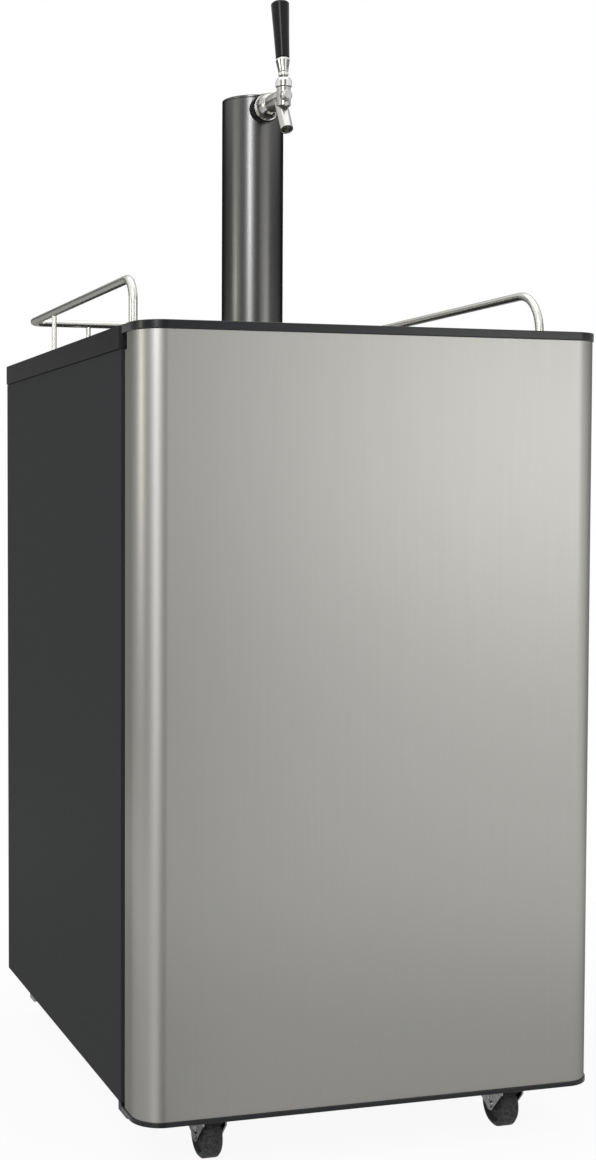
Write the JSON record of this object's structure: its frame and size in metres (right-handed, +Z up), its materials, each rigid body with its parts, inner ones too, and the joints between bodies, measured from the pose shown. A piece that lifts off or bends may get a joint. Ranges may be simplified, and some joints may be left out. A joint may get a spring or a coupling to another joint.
{
  "type": "kegerator",
  "caption": "Free-standing beer keg cooler on casters with a swinging stainless door, a worktop with a guard rail and a tap tower.",
  "frame": {"origin": "on the floor, below the centre of the part's box", "axes": "+X to the right as seen from the front, +Y from the door to the back, +Z up"},
  "size_m": [0.5272, 0.6194, 1.2906],
  "materials": {
    "stainless": "brushed stainless sheet",
    "satin_steel": "satin stainless",
    "smoked_steel": "dark brushed steel",
    "chrome": "polished",
    "grey_paint": "matte dark grey paint",
    "black_paint": "black paint",
    "zinc": "zinc coated steel",
    "copper": "drawn copper",
    "aluminium": "plain",
    "black_plastic": "fine grain black plastic",
    "gloss_black": "glossy black",
    "dark_liner": "smooth dark grey plastic",
    "pale_tube": "translucent hose",
    "rubber": "black rubber",
    "foam": "rigid foam insulation"
  },
  "bodies": {
    "cabinet": {"side_panel_left": "grey_paint", "side_panel_right": "grey_paint", "back_panel": "grey_paint", "base_pan": "zinc", "insulation_foam": "foam", "inner_liner": "dark_liner", "worktop": "black_plastic", "guard_rail": "satin_steel", "keg_floor_plate": "zinc", "evaporator_plate": "aluminium", "thermostat_housing": "dark_liner", "top_hinge_bracket": "gloss_black", "bottom_hinge_bracket": "black_paint", "compressor_plate": "zinc", "condenser_coil": "black_paint", "filter_drier": "copper", "refrigerant_pipe": "copper", "cord_gland": "black_plastic", "compressor": "black_paint", "relay_cover": "black_plastic", "evaporation_pan": "black_plastic", "tower_flange": "smoked_steel", "tower_tube": "smoked_steel", "tower_cap": "smoked_steel", "tower_insulation": "foam", "beer_line": "pale_tube", "faucet_shank": "chrome", "shank_collar": "gloss_black", "shank_nut": "chrome", "coupling_nut": "chrome", "faucet_body": "chrome", "faucet_bonnet": "chrome", "caster_plate_front_left": "zinc", "caster_plate_front_right": "zinc", "caster_plate_rear_left": "zinc", "caster_plate_rear_right": "zinc"},
    "door": {"door_skin": "stainless", "door_foam": "foam", "door_liner": "dark_liner", "door_gasket": "rubber", "door_top_cap": "black_plastic", "door_bottom_cap": "black_plastic"},
    "thermostat": {"thermostat_knob": "black_plastic"},
    "tap": {"tap_lever": "chrome", "handle_ferrule": "chrome", "tap_handle": "gloss_black"},
    "valve": {"valve_shaft": "satin_steel"},
    "tray": {"drip_tray": "black_plastic"},
    "grille": {"drip_grille": "satin_steel"},
    "fork_front_left": {"caster_fork_front_left": "chrome"},
    "fork_front_right": {"caster_fork_front_right": "chrome"},
    "fork_rear_left": {"caster_fork_rear_left": "chrome"},
    "fork_rear_right": {"caster_fork_rear_right": "chrome"},
    "wheel_front_left": {"caster_wheel_front_left": "rubber"},
    "wheel_front_right": {"caster_wheel_front_right": "rubber"},
    "wheel_rear_left": {"caster_wheel_rear_left": "rubber"},
    "wheel_rear_right": {"caster_wheel_rear_right": "rubber"},
    "brake_front_left": {"caster_brake_front_left": "black_plastic"},
    "brake_front_right": {"caster_brake_front_right": "black_plastic"}
  },
  "joints": [
    {"name": "door_swing", "type": "hinge", "parent": "cabinet", "child": "door", "pos_m": [-0.253, -0.25585, 0.46], "axis": [0, 0, -1], "range_deg": [0, 105]},
    {"name": "thermostat_turn", "type": "hinge", "parent": "cabinet", "child": "thermostat", "pos_m": [0.1492, -0.1917, 0.7975], "axis": [0, -1, 0], "range_deg": [0, 270]},
    {"name": "tap_tilt", "type": "hinge", "parent": "cabinet", "child": "tap", "pos_m": [0, -0.03145, 1.194], "axis": [1, 0, 0], "range_deg": [0, 24]},
    {"name": "valve_slide", "type": "slide", "parent": "cabinet", "child": "valve", "axis": [0, 1, 0], "range_m": [0, 0.0062]},
    {"name": "tray_lift", "type": "slide", "parent": "cabinet", "child": "tray", "axis": [0, 0, 1], "range_m": [0, 0.08]},
    {"name": "grille_lift", "type": "slide", "parent": "tray", "child": "grille", "axis": [0, 0, 1], "range_m": [0, 0.06]},
    {"name": "swivel_front_left", "type": "hinge", "parent": "cabinet", "child": "fork_front_left", "pos_m": [-0.173, -0.23035, 0.05], "axis": [0, 0, 1], "continuous": true},
    {"name": "swivel_front_right", "type": "hinge", "parent": "cabinet", "child": "fork_front_right", "pos_m": [0.173, -0.23035, 0.05], "axis": [0, 0, 1], "continuous": true},
    {"name": "swivel_rear_left", "type": "hinge", "parent": "cabinet", "child": "fork_rear_left", "pos_m": [-0.173, 0.26665, 0.05], "axis": [0, 0, 1], "continuous": true},
    {"name": "swivel_rear_right", "type": "hinge", "parent": "cabinet", "child": "fork_rear_right", "pos_m": [0.173, 0.26665, 0.05], "axis": [0, 0, 1], "continuous": true},
    {"name": "roll_front_left", "type": "hinge", "parent": "fork_front_left", "child": "wheel_front_left", "pos_m": [-0.173, -0.26135, 0.02479], "axis": [1, 0, 0], "continuous": true},
    {"name": "roll_front_right", "type": "hinge", "parent": "fork_front_right", "child": "wheel_front_right", "pos_m": [0.173, -0.26135, 0.02479], "axis": [1, 0, 0], "continuous": true},
    {"name": "roll_rear_left", "type": "hinge", "parent": "fork_rear_left", "child": "wheel_rear_left", "pos_m": [-0.173, 0.23565, 0.02479], "axis": [1, 0, 0], "continuous": true},
    {"name": "roll_rear_right", "type": "hinge", "parent": "fork_rear_right", "child": "wheel_rear_right", "pos_m": [0.173, 0.23565, 0.02479], "axis": [1, 0, 0], "continuous": true},
    {"name": "brake_press_left", "type": "hinge", "parent": "fork_front_left", "child": "brake_front_left", "pos_m": [-0.173, -0.28327, 0.04671], "axis": [1, 0, 0], "range_deg": [0, 18]},
    {"name": "brake_press_right", "type": "hinge", "parent": "fork_front_right", "child": "brake_front_right", "pos_m": [0.173, -0.28327, 0.04671], "axis": [1, 0, 0], "range_deg": [0, 18]}
  ],
  "couplings": [
    {"joint": "valve_slide", "follows": "tap_tilt", "m_per_rad": 0.0148}
  ]
}
